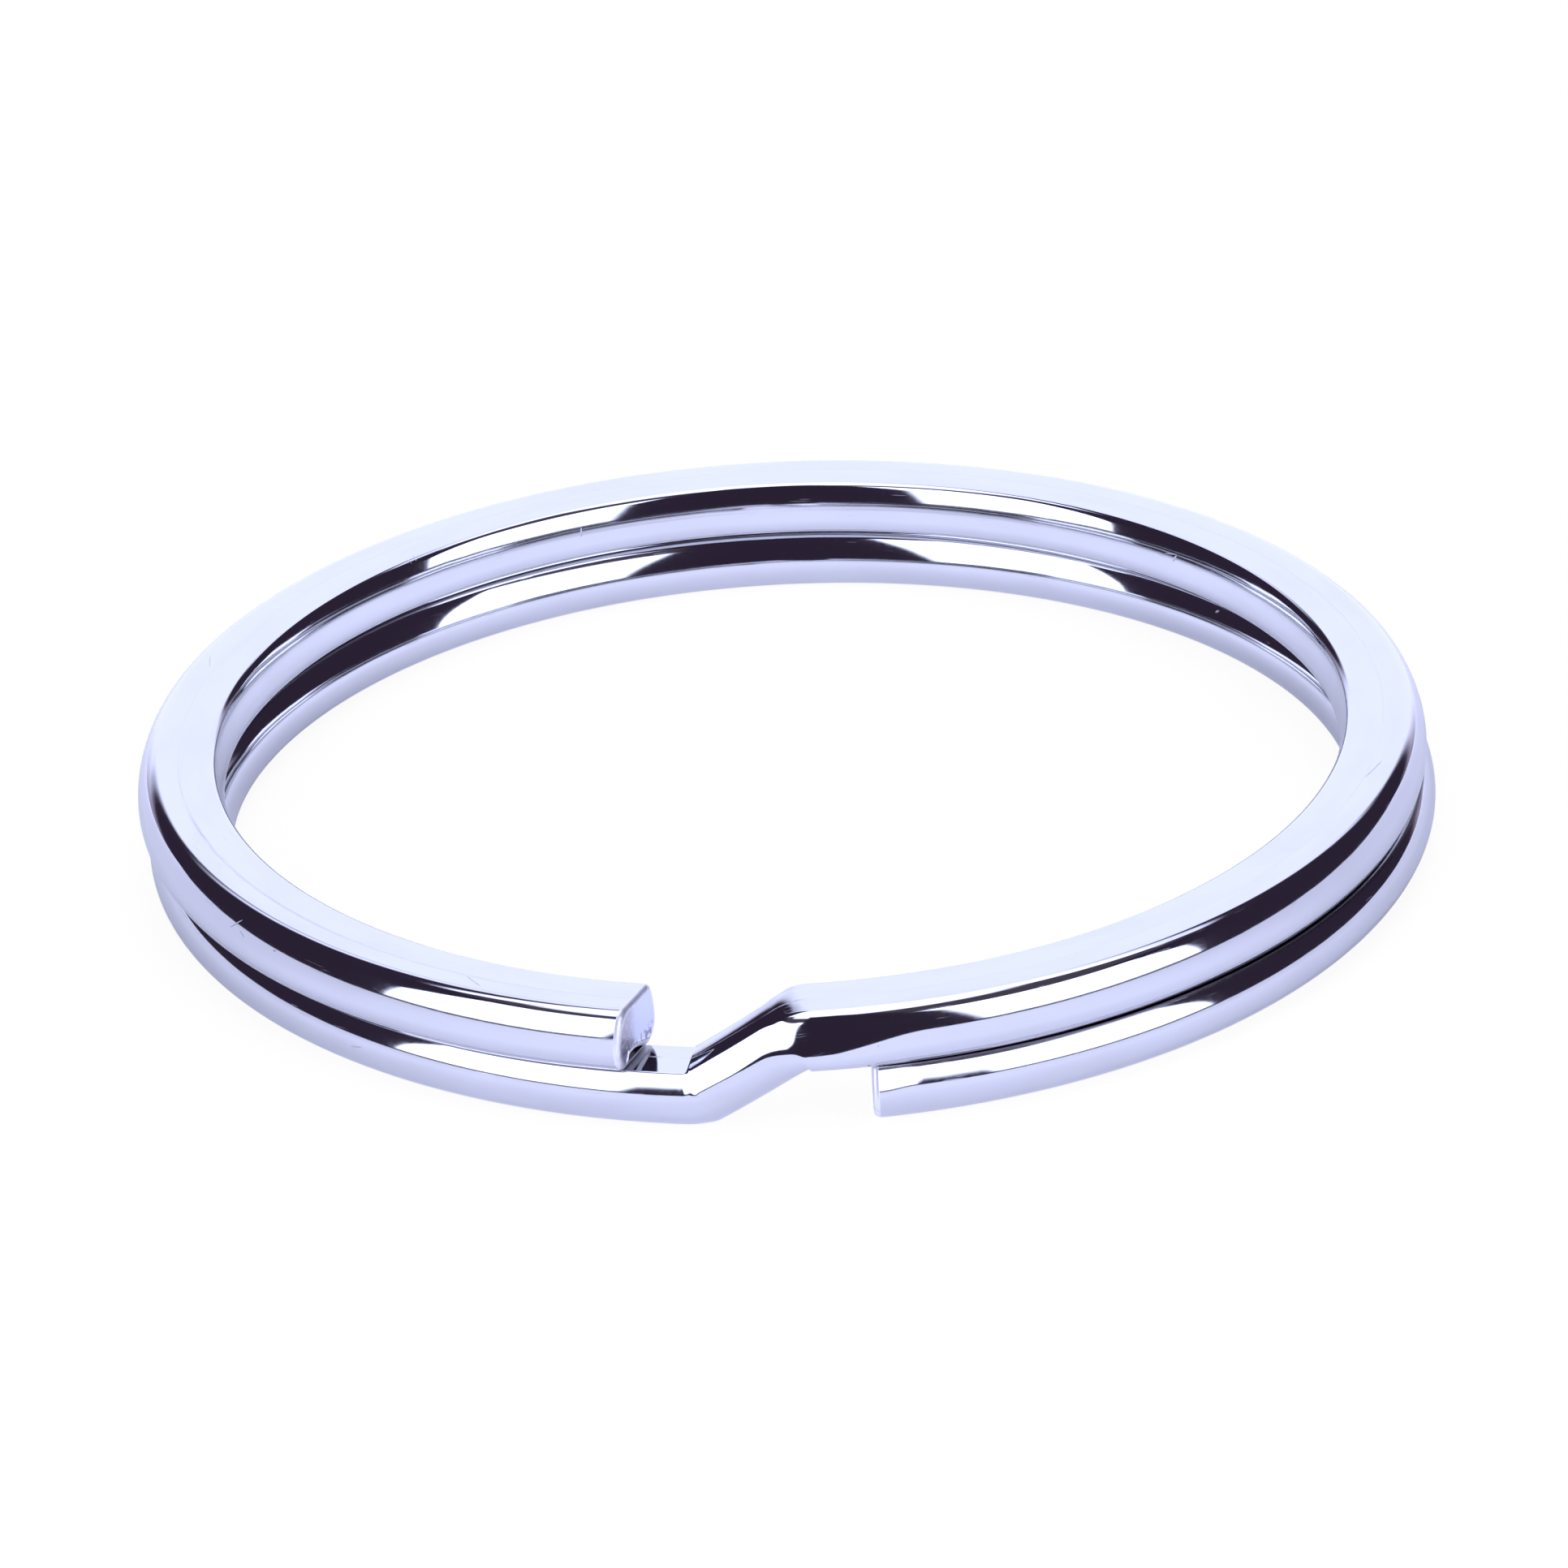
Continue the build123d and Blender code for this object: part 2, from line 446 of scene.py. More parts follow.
def add_cap(piece, station, facing, relief):
    """Close a cut end: rings shrinking to the middle, with the relief of a sheared face."""
    up = station.travel.cross(station.outward) * -1
    plane = (station.travel + station.outward * station.skew).normalized() * facing
    span = 0.01 * MM
    rings = []
    for r in range(CAP_RINGS + 1):
        share = 1 - r / CAP_RINGS
        points, normals, coords = [], [], []
        for x, z, _ in station.outline:
            at_x, at_z = station.drawn_in(x * share, z * share)
            point = station.centre + station.outward * at_x + up * at_z
            point += station.travel * (-at_x * station.skew)
            slope_x = (relief(at_x + span, at_z) - relief(at_x - span, at_z)) / (2 * span)
            slope_z = (relief(at_x, at_z + span) - relief(at_x, at_z - span)) / (2 * span)
            if r:
                point += plane * relief(at_x, at_z) * eased(r / CAP_RIM_RINGS)
            points.append(point)
            normals.append((plane - station.outward * slope_x - up * slope_z).normalized())
            coords.append((at_x, at_z, 0.0))
        rings.append(piece.add_ring((points, normals, coords)))
    for a, b in zip(rings, rings[1:]):
        if facing > 0:
            piece.bridge(a, b, SHEARED)
        else:
            piece.bridge(b, a, SHEARED)


def flat_cap(piece, ring, station, facing):
    """Close an end that butts against the next piece."""
    points = [piece.points[i].copy() for i in ring]
    normals = [station.travel * facing for _ in ring]
    coords = [piece.coords[i] for i in ring]
    closed = list(piece.add_ring((points, normals, coords)))
    if facing < 0:
        closed.reverse()
    piece.faces.append(tuple(closed))
    piece.face_materials.append(PLATED)


def along_at(coil, angle):
    """Distance along the wire, from the front of the lower turn."""
    return coil.radius * radians(angle + 360 * coil.climb)


def coil_stations(coil, start, end):
    """Stations along a turn, from one angle to another."""
    count = max(2, round(abs(end - start) / COIL_STEP))
    stations = []
    for i in range(count + 1):
        angle = start + (end - start) * i / count
        stations.append(Station(coil.place(angle), along_at(coil, angle), coil.climb))
    return stations


def slope_share(travel, slopes):
    """0 to 1 as the wire's slope goes from one angle to another."""
    slope = degrees(asin(travel.z))
    return eased((slope - slopes[0]) / (slopes[1] - slopes[0]))


def ramp_stations():
    """Stations up the step, between the two turns."""
    stations = []
    span = step_end_x - step_start_x
    for i in range(1, RAMP_STATIONS):
        share = i / RAMP_STATIONS
        x = step_start_x + span * share
        climb = eased((x - step_start_x) / span)
        place = step_place(x)
        pressed = slope_share(place[2], PRESSED_SLOPES)
        pressed *= 1 - eased((share - PRESSED_END) / (1 - PRESSED_END))
        on_lower = along_at(lower, 360 + lower.angle_at(x))
        on_upper = along_at(upper, upper.angle_at(x))
        along = on_lower * (1 - climb) + on_upper * climb
        stations.append(Station(place, along, climb, pressed=pressed))
    return stations


def sweep(name, stations, cap_start=True, cap_end=True):
    """A piece of wire through its stations. Where the finish changes, a ring is drawn twice."""
    piece = Piece(name)
    rings = [piece.add_ring(ring_of(s, s.finish)) for s in stations]
    for i in range(len(rings) - 1):
        here, there = stations[i], stations[i + 1]
        finish = max(here.finish, there.finish)
        a = rings[i] if here.finish == finish else piece.add_ring(ring_of(here, finish))
        b = rings[i + 1] if there.finish == finish else piece.add_ring(ring_of(there, finish))
        piece.bridge(a, b, finish)
    if cap_start:
        flat_cap(piece, rings[0], stations[0], -1)
    if cap_end:
        flat_cap(piece, rings[-1], stations[-1], 1)
    return piece


def broken_edge(coil, angle, skew, facing):
    """Stations of the rounded edge at a cut end, from the full section to the cut."""
    stations = []
    per_degree = coil.radius * radians(1)
    for i in range(END_STATIONS + 1):
        turn = pi / 2 * i / END_STATIONS
        back = EDGE_BREAK * (1 - sin(turn))
        place = angle - facing * back / per_degree
        inset = EDGE_BREAK * (1 - cos(turn))
        lean = facing * turn
        along = along_at(coil, place)
        station = Station(coil.place(place), along, coil.climb, inset, lean, skew)
        if i > 0:
            station.finish = SHEARED
        stations.append(station)
    return stations


# ---------------------------------------------------------------- materials

class Nodes:
    """Short calls for laying out a node tree."""

    def __init__(self, tree):
        self.tree = tree
        tree.nodes.clear()

    def add(self, kind, **settings):
        """A new node of a kind, with its settings."""
        node = self.tree.nodes.new(kind)
        for key, value in settings.items():
            setattr(node, key, value)
        return node

    def plug(self, source, target):
        """Link a socket, or set a plain value."""
        if isinstance(source, bpy.types.NodeSocket):
            self.tree.links.new(source, target)
        else:
            target.default_value = source

    def parts(self, vector):
        """The three parts of a vector."""
        node = self.add("ShaderNodeSeparateXYZ")
        self.plug(vector, node.inputs[0])
        return node.outputs

    def math(self, operation, a, b=0.0, c=0.0):
        """The result of a sum on numbers or sockets."""
        node = self.add("ShaderNodeMath", operation=operation)
        for value, socket in zip((a, b, c), node.inputs):
            self.plug(value, socket)
        return node.outputs[0]

    def ramp(self, value, low, high, start=0.0, end=1.0):
        """Smooth passage from start to end as value goes from low to high."""
        node = self.add("ShaderNodeMapRange", interpolation_type="SMOOTHSTEP")
        self.plug(value, node.inputs["Value"])
        numbers = {"From Min": low, "From Max": high, "To Min": start, "To Max": end}
        for name, number in numbers.items():
            self.plug(number, node.inputs[name])
        return node.outputs["Result"]

    def mix(self, share, a, b):
        """A colour between a (share 0) and b (share 1)."""
        node = self.add("ShaderNodeMix", data_type="RGBA")
        self.plug(share, node.inputs["Factor"])
        self.plug(a if isinstance(a, bpy.types.NodeSocket) else (*a, 1), node.inputs[6])
        self.plug(b if isinstance(b, bpy.types.NodeSocket) else (*b, 1), node.inputs[7])
        return node.outputs[2]

    def noise(self, vector, scale, detail=2.0, roughness=0.5):
        """Noise from 0 to 1."""
        node = self.add("ShaderNodeTexNoise")
        self.plug(vector, node.inputs["Vector"])
        node.inputs["Scale"].default_value = scale
        node.inputs["Detail"].default_value = detail
        node.inputs["Roughness"].default_value = roughness
        return node.outputs["Fac"]

    def scratch(self, wire, scratch):
        """1 on the scratch, 0 off it."""
        offset = self.add("ShaderNodeVectorMath", operation="SUBTRACT")
        self.plug(wire, offset.inputs[0])
        offset.inputs[1].default_value = scratch.place
        turned = self.add("ShaderNodeVectorRotate", rotation_type="Z_AXIS")
        self.plug(offset.outputs[0], turned.inputs["Vector"])
        turned.inputs["Angle"].default_value = scratch.slant
        scaled = self.stretch(turned.outputs[0], scratch.scale)
        length = self.add("ShaderNodeVectorMath", operation="LENGTH")
        self.plug(scaled, length.inputs[0])
        return self.ramp(length.outputs["Value"], 0.5, 1.0, 1.0, 0.0)

    def stretch(self, vector, amounts):
        """A vector with each part multiplied."""
        node = self.add("ShaderNodeVectorMath", operation="MULTIPLY")
        self.plug(vector, node.inputs[0])
        node.inputs[1].default_value = amounts
        return node.outputs[0]

    def bump(self, height, strength, distance):
        """Normals for a relief of a height, 1 standing for the distance."""
        node = self.add("ShaderNodeBump")
        node.inputs["Strength"].default_value = strength
        node.inputs["Distance"].default_value = distance
        self.plug(height, node.inputs["Height"])
        return node.outputs["Normal"]

    def output(self, kind, result):
        self.plug(result, self.add(kind).inputs["Surface"])

    def metal(self, colour, roughness, normal):
        """Finish a material as bare metal."""
        shader = self.add("ShaderNodeBsdfPrincipled")
        shader.inputs["Metallic"].default_value = 1.0
        self.plug(colour, shader.inputs["Base Color"])
        self.plug(roughness, shader.inputs["Roughness"])
        self.plug(normal, shader.inputs["Normal"])
        self.output("ShaderNodeOutputMaterial", shader.outputs["BSDF"])


def new_material(name):
    """An empty material, and its node tree."""
    material = bpy.data.materials.new(name)
    material.use_nodes = True
    return material, Nodes(material.node_tree)


class Scratch:
    """A hair scratch: where along and round the wire (mm), its half-size (mm) and its slant."""

    def __init__(self, coil, angle, around, half_length, half_width, slant):
        self.place = (along_at(coil, angle) / MM, around, 0.0)
        self.scale = (1 / half_length, 1 / half_width, 0.0)
        self.slant = radians(slant)


OUTER_TIP = AROUND[OUTER_INDEX] / MM    # place round the wire, in millimetres
INNER_TIP = AROUND[INNER_INDEX] / MM
SCRATCHES = [
    Scratch(upper, 303.0, OUTER_TIP - 0.52, 0.30, 0.020, 40),
    Scratch(upper, 304.2, OUTER_TIP - 0.40, 0.12, 0.015, -25),
    Scratch(upper, 309.0, OUTER_TIP - 0.45, 0.05, 0.030, 0),
    Scratch(upper, 132.0, INNER_TIP + 0.43, 0.10, 0.030, 60),
    Scratch(upper, 132.6, INNER_TIP + 0.50, 0.22, 0.015, 10),
    Scratch(upper, 220.4, INNER_TIP + 0.95, 0.14, 0.022, 75),
    Scratch(upper, 221.2, INNER_TIP + 0.92, 0.11, 0.022, 100),
    Scratch(lower, 128.0, INNER_TIP + 0.55, 0.08, 0.030, 30),
    Scratch(upper, 6.8, OUTER_TIP - 0.10, 0.025, 0.018, 0),
    Scratch(upper, 200.6, INNER_TIP + 0.35, 0.12, 0.025, 80),
    Scratch(upper, 73.0, 0.10, 0.60, 0.015, -12),
    Scratch(upper, 250.0, 0.22, 0.45, 0.012, 20),
    Scratch(upper, 330.0, 0.15, 0.35, 0.012, -30),
    Scratch(lower, 318.0, OUTER_TIP - 0.05, 0.20, 0.015, 12),
]


def crease_from(index):
    """Where round the wire (mm) the crease lies that starts at an outline point."""
    return AROUND[index - 1] / MM, AROUND[index + CREASE_POINTS] / MM


def crease_up_to(index):
    """The same for the crease that ends just before an outline point."""
    return AROUND[index - CREASE_POINTS] / MM, AROUND[index + 1] / MM


OUTER_TOP_CREASE = crease_up_to(OUTER_INDEX - SIDE_POINTS)
OUTER_BOTTOM_CREASE = crease_from(OUTER_INDEX + SIDE_POINTS)
INNER_BOTTOM_CREASE = crease_up_to(INNER_INDEX - SIDE_POINTS)
INNER_TOP_CREASE = crease_from(INNER_INDEX + SIDE_POINTS)

# Each crease on which the turns touch, where shade is painted: its turn, first and last angle, and
# place round the wire
TOUCHING_CREASES = [
    (lower, 5.0, 343.0, OUTER_TOP_CREASE),
    (lower, 5.0, 343.0, INNER_TOP_CREASE),
    (upper, 7.0, 345.0, OUTER_BOTTOM_CREASE),
    (upper, 7.0, 345.0, INNER_BOTTOM_CREASE),
]

GROOVE_FADE = 0.6           # millimetres of wire over which the groove's painted shade sets in
WAVE_HEIGHT = 0.002 * MM
MOTTLE_DEPTH = 0.012 * MM

METAL_TINT = (0.665, 0.672, 0.70)
METAL_WARM = (0.640, 0.645, 0.665)
METAL_SEAM_SHADE = (0.16, 0.14, 0.16)     # painted shade in the groove between the turns
SHEAR_SMOOTH = (0.63, 0.67, 0.86)
SHEAR_GRAZED = (0.60, 0.57, 0.60)
SHEAR_SPOTS = (0.30, 0.27, 0.34)
TORN_LOW = (0.34, 0.27, 0.27)
# Painted shade in the pocket just under the torn end's lip
TORN_POCKET_SHADE = (0.05, 0.04, 0.06)
# Painted highlight, near-white, on the lip of the tear and on the cut ends' rounded rims
LIP_AND_RIM_HIGHLIGHT = (0.95, 0.94, 0.96)


def groove(n, wire):
    """1 on the creases where the two turns touch, where shade is painted, 0 elsewhere."""
    along, around, _ = n.parts(wire)
    share = 0.0
    for coil, start, end, (low, high) in TOUCHING_CREASES:
        first = along_at(coil, start) / MM
        last = along_at(coil, end) / MM
        on_turn = n.ramp(along, first, first + GROOVE_FADE)
        on_turn = n.math("MULTIPLY", on_turn, n.ramp(along, last, last + GROOVE_FADE, 1.0, 0.0))
        off_crease = n.math("ABSOLUTE", n.math("SUBTRACT", around, (low + high) / 2))
        half = (high - low) / 2
        on_crease = n.ramp(off_crease, half * 0.8, half * 1.2, 1.0, 0.0)
        share = n.math("MAXIMUM", share, n.math("MULTIPLY", on_turn, on_crease))
    return share


def plated_wire():
    """Bright nickel plating, with drawing lines, faint waves, hair scratches and painted shade in
    the groove between the turns.
    """
    material, n = new_material("plated_wire_chrome")
    wire = n.add("ShaderNodeAttribute", attribute_name="wire").outputs["Vector"]
    # Each noise is stretched by its fineness along and round the wire, per millimetre
    waves = n.noise(n.stretch(wire, (0.9, 1.6, 1.0)), 1.0, 1.0)
    lines = n.noise(n.stretch(wire, (0.25, 22.0, 1.0)), 1.0, 3.0, 0.6)
    grain = n.noise(n.stretch(wire, (9.0, 9.0, 1.0)), 1.0, 3.0, 0.6)
    cloud = n.noise(n.stretch(wire, (0.35, 1.1, 1.0)), 1.0, 2.0)
    hairs = n.noise(n.stretch(wire, (0.8, 55.0, 1.0)), 1.0, 1.0)
    scratch = n.ramp(hairs, 0.70, 0.80, 0.0, 0.10)
    for mark in SCRATCHES:
        scratch = n.math("MAXIMUM", scratch, n.scratch(wire, mark))
    height = n.math("MULTIPLY_ADD", lines, 0.02, waves)
    height = n.math("MULTIPLY_ADD", grain, 0.004, height)
    height = n.math("MULTIPLY_ADD", scratch, -2.0, height)
    # Painted shade: the plating is made dark, and rougher, in the groove between the turns
    seam_shade = groove(n, wire)
    polished = n.mix(n.ramp(cloud, 0.35, 0.75), METAL_TINT, METAL_WARM)
    colour = n.mix(seam_shade, polished, METAL_SEAM_SHADE)
    roughness = n.math("MULTIPLY_ADD", seam_shade, 0.25, n.ramp(grain, 0.2, 0.8, 0.05, 0.08))
    roughness = n.math("MULTIPLY_ADD", scratch, 0.30, roughness)
    n.metal(colour, roughness, n.bump(height, 1.0, WAVE_HEIGHT))
    return material


def over_tear(n, across, height):
    """The material's version of above_tear, in millimetres."""
    inner_part = n.math("MULTIPLY_ADD", across, TEAR_INNER_SLOPE, TEAR_INNER / MM)
    outer_part = n.math("MULTIPLY_ADD", across, TEAR_OUTER_SLOPE, TEAR_OUTER / MM)
    tear = n.math("MINIMUM", TEAR_LEVEL / MM, n.math("MINIMUM", inner_part, outer_part))
    return n.math("SUBTRACT", height, tear)


def sheared_wire():
    """The cut ends: plated over, smooth on the inner side, mottled and torn on the outer, with a
    painted highlight on the lip and rims and painted shade under the lip.
    """
    material, n = new_material("plated_wire_sheared")
    face = n.add("ShaderNodeAttribute", attribute_name="wire").outputs["Vector"]
    across, height, rim = n.parts(face)
    mottle = n.noise(face, 6.0, 3.0, 0.6)
    outward = n.ramp(across, -0.15, 0.45)
    grazed = n.math("MULTIPLY", outward, n.ramp(mottle, 0.30, 0.55))
    spots = n.math("MULTIPLY", n.ramp(height, -0.35, -0.15, 1.0, 0.0), n.ramp(mottle, 0.50, 0.56))
    above = over_tear(n, across, height)
    torn = n.math("MULTIPLY", n.ramp(above, -0.10, -0.06, 1.0, 0.0), n.math("SUBTRACT", 1.0, rim))
    # Painted highlight: the lip of the tear and the rounded rims are made near-white
    lip = n.ramp(n.math("ABSOLUTE", n.math("ADD", above, 0.02)), 0.05, 0.08, 1.0, 0.0)
    white = n.math("MAXIMUM", lip, n.math("MULTIPLY", rim, 0.8))
    colour = n.mix(grazed, SHEAR_SMOOTH, SHEAR_GRAZED)
    colour = n.mix(spots, colour, SHEAR_SPOTS)
    # Painted shade: the torn part is darkest in the pocket just under the lip
    torn_colour = n.mix(n.ramp(height, -0.62, -0.50), TORN_LOW, TORN_POCKET_SHADE)
    colour = n.mix(torn, colour, torn_colour)
    colour = n.mix(white, colour, LIP_AND_RIM_HIGHLIGHT)
    roughness = n.math("MULTIPLY_ADD", outward, 0.30, 0.14)
    roughness = n.math("MAXIMUM", roughness, n.math("MULTIPLY", white, 0.62))
    n.metal(colour, roughness, n.bump(n.math("MULTIPLY", mottle, grazed), 0.6, MOTTLE_DEPTH))
    return material


FINISH = [plated_wire(), sheared_wire()]    # in the order of PLATED and SHEARED


# ---------------------------------------------------------------- marks of the tools

def straighten_foot(stations):
    """Swing the normals in on the straight bit of wire that leads into the step."""
    for station in stations:
        angle = lower.angle_at(station.centre.x)
        if angle > FOOT_STRAIGHT:
            turn = FOOT_STRAIGHT - min(angle, FOOT_STRAIGHT + FOOT_STRAIGHT_LENGTH)
            station.swing = radians(turn) * (1 - slope_share(station.travel, FOOT_SLOPES))


def press_head(stations):
    """Turn the outer side's normals up where the step's head was pressed."""
    for station in stations:
        past_head = degrees(asin((station.centre.x - head_x) / upper.radius))
        if past_head > -HEAD_PRESS_RISE:
            rise = eased((past_head + HEAD_PRESS_RISE) / HEAD_PRESS_RISE)
            station.press = HEAD_PRESS * rise * (1 - eased(past_head / HEAD_PRESS_SPAN))


def straighten_end(stations):
    """The last stretch of the lower turn keeps one direction, as wire does that wasn't coiled."""
    for station in stations:
        angle = lower.angle_at(station.centre.x)
        if angle < END_STRAIGHT:
            bent_in = eased((END_SWING_START - angle) / END_SWING_SPAN)
            station.swing = radians(END_STRAIGHT - angle) + END_SWING * bent_in


def roll_corner(stations):
    """The shears rolled the last of the lower turn's outer side over."""
    for station in stations:
        from_end = lower.angle_at(station.centre.x) - LOWER_END_ANGLE
        station.press = END_ROLL * (1 - eased(from_end / END_ROLL_SPAN))


# ---------------------------------------------------------------- the nine pieces

def finish_piece(piece):
    obj = piece.build(FINISH)
    return obj


def rigid(piece, body):
    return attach(finish_piece(piece), body)


def lower_end_piece():
    """The lower turn's cut end and the wire up to its right side."""
    edge = broken_edge(lower, LOWER_END_ANGLE, LOWER_END_SKEW, -1)
    edge.reverse()
    first_full = LOWER_END_ANGLE + EDGE_BREAK / (lower.radius * radians(1))
    stations = edge + coil_stations(lower, first_full, FRONT_RIGHT)[1:]
    straighten_end(stations)
    roll_corner(stations)
    piece = sweep("wire_lower_end", stations, cap_start=False)
    add_cap(piece, stations[0], -1, plain_shear)
    return rigid(piece, "lower_end")


def upper_end_piece():
    """The upper turn's last stretch, whose sections turn to the skewed cut at its end."""
    skew_start = UPPER_END_ANGLE - SKEW_LENGTH
    last_full = UPPER_END_ANGLE - EDGE_BREAK / (upper.radius * radians(1))
    square = coil_stations(upper, FRONT_LEFT, skew_start)
    turning = coil_stations(upper, skew_start, last_full)[1:]
    for i, station in enumerate(turning):
        station.skew = UPPER_END_SKEW * (i + 1) / len(turning)
    edge = broken_edge(upper, UPPER_END_ANGLE, UPPER_END_SKEW, 1)[1:]
    stations = square + turning + edge
    piece = sweep("wire_upper_end", stations, cap_end=False)
    add_cap(piece, stations[-1], 1, torn_shear)
    return rigid(piece, "upper_end")


def step_piece():
    """The fixed turn: from the lower turn's left side up the step to the upper turn's right."""
    stations = coil_stations(lower, FRONT_LEFT, 360 + lower.angle_at(step_start_x))
    stations += ramp_stations()
    straighten_foot(stations)
    stations += coil_stations(upper, upper.angle_at(step_end_x), FRONT_RIGHT)
    press_head(stations)
    return rigid(sweep("wire_step", stations), "fixed_turn")


def bending(name, coil, start, end):
    """A piece of a turn from one angle to another, with one of the turn's hinges at its middle."""
    piece = finish_piece(sweep(name, coil_stations(coil, start, end)))
    first = tuple(coil.place(start + BEND_MARGIN)[0])
    last = tuple(coil.place(end - BEND_MARGIN)[0])
    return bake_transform(piece)


def right_bend(name, coil):
    return bending(name, coil, FRONT_RIGHT, BACK_RIGHT)


def back_bend(name, coil):
    return bending(name, coil, BACK_RIGHT, BACK_LEFT)


def left_bend(name, coil):
    return bending(name, coil, BACK_LEFT, FRONT_LEFT)


lower_end = lower_end_piece()
lower_right = right_bend("wire_lower_right", lower)
lower_back = back_bend("wire_lower_back", lower)
lower_left = left_bend("wire_lower_left", lower)
step = step_piece()
upper_right = right_bend("wire_upper_right", upper)
upper_back = back_bend("wire_upper_back", upper)
upper_left = left_bend("wire_upper_left", upper)
upper_end = upper_end_piece()

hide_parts("lower_free_end")
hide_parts("lower_free_end", "lower_coil_back_right")
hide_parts("lower_coil_back_right", "lower_coil_back_left")
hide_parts("lower_coil_back_left", "lower_coil_front_left")
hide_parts("lower_coil_front_left", "crossover_step", "upper_coil_front_right")
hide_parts("upper_coil_front_right", "upper_coil_back_right")
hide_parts("upper_coil_back_right", "upper_coil_back_left")
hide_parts("upper_coil_back_left", "upper_free_end")
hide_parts("upper_free_end")


# ---------------------------------------------------------------- floor, light and camera

FLOOR_HALF = 6.0            # metres, so that its far edge meets the horizon
FLOOR_WHITE = 0.90          # what the camera sees of the floor, before the tent's light on it
FLOOR_LIT = (0.16, 0.152, 0.112)
SHADE_REACH = (0.5 * MM, 5 * MM)    # painted shadow: the floor is darker from here to there beside the wire
COOL = (1.0, 1.055, 1.44)   # the studio light's colour


def cool(strength):
    """The studio light at a strength."""
    return tuple(channel * strength for channel in COOL)


def reflected_paper(n):
    """The floor in the metal: it has a painted glow, less so to the sides, and painted shadow close
    to the wire.
    """
    paper = n.add("ShaderNodeBsdfPrincipled")
    paper.inputs["Roughness"].default_value = 1.0
    paper.inputs["Specular IOR Level"].default_value = 0.0
    paper.inputs["Emission Color"].default_value = (*COOL, 1)
    place = n.add("ShaderNodeTexCoord").outputs["Object"]
    x, y, _ = n.parts(place)
    off_axis = n.math("ABSOLUTE", n.math("SINE", n.math("ARCTAN2", y, x)))
    reach = n.add("ShaderNodeVectorMath", operation="LENGTH")
    n.plug(place, reach.inputs[0])
    beside = n.math("ABSOLUTE", n.math("SUBTRACT", reach.outputs["Value"], upper.radius))
    # Painted shadow: glow and colour are darker close to the wire; painted light: a glow strongest
    # in front and behind
    shade = n.ramp(beside, *SHADE_REACH, 0.85, 1.0)
    glow = n.ramp(off_axis, 0.2, 1.0, 0.08, 0.33)
    n.plug(n.math("MULTIPLY", glow, shade), paper.inputs["Emission Strength"])
    n.plug(n.mix(shade, (0.0, 0.0, 0.0), (1.0, 1.0, 1.0)), paper.inputs["Base Color"])
    return paper.outputs["BSDF"]


def seen_paper(n):
    """The floor seen directly: nearly white, with a little of the tent's light and shadow."""
    white = n.add("ShaderNodeEmission")
    white.inputs["Color"].default_value = (1, 1, 1, 1)
    white.inputs["Strength"].default_value = FLOOR_WHITE
    lit = n.add("ShaderNodeBsdfDiffuse")
    lit.inputs["Color"].default_value = (*FLOOR_LIT, 1)
    both = n.add("ShaderNodeAddShader")
    n.plug(white.outputs[0], both.inputs[0])
    n.plug(lit.outputs[0], both.inputs[1])
    return both.outputs[0]


def pale_floor(level):
    """A plain pale floor. Seen directly it stays white; in the metal it shows its shading, with
    painted light and shadow.
    """
    h = FLOOR_HALF
    mesh = bpy.data.meshes.new("floor")
    corners = [(-h, -h, level), (h, -h, level), (h, h, level), (-h, h, level)]
    mesh.from_pydata(corners, [], [(0, 1, 2, 3)])
    floor = bpy.data.objects.new("floor", mesh)
    bpy.context.collection.objects.link(floor)
    material, n = new_material("floor_paper")
    choice = n.add("ShaderNodeMixShader")
    n.plug(n.add("ShaderNodeLightPath").outputs["Is Camera Ray"], choice.inputs[0])
    n.plug(reflected_paper(n), choice.inputs[1])
    n.plug(seen_paper(n), choice.inputs[2])
    n.output("ShaderNodeOutputMaterial", choice.outputs[0])
    mesh.materials.append(material)


class Card:
    """One part of the light tent, by direction in degrees: azimuth from behind (+Y) towards +X.

    Azimuth and elevation each run from a first to a last edge, and each edge has a softness.
    A side edge may slant: it moves by so many degrees of azimuth per degree of elevation.
    """

    def __init__(self, colour, azimuth, azimuth_soft, elevation, elevation_soft, slant=(0, 0)):
        self.colour = colour
        self.azimuth = azimuth
        self.azimuth_soft = azimuth_soft
        self.elevation = elevation
        self.elevation_soft = elevation_soft
        self.slant = slant


BACKDROP = cool(1.19)
CEILING = cool(1.7)
PANEL = cool(2.2)
GAP = (0.085, 0.07, 0.10)
FOOT = (0.16, 0.14, 0.19)
HAZE = (0.38, 0.32, 0.47)   # the dark openings' soft inner edges, low down
DARK = (0.033, 0.023, 0.047)

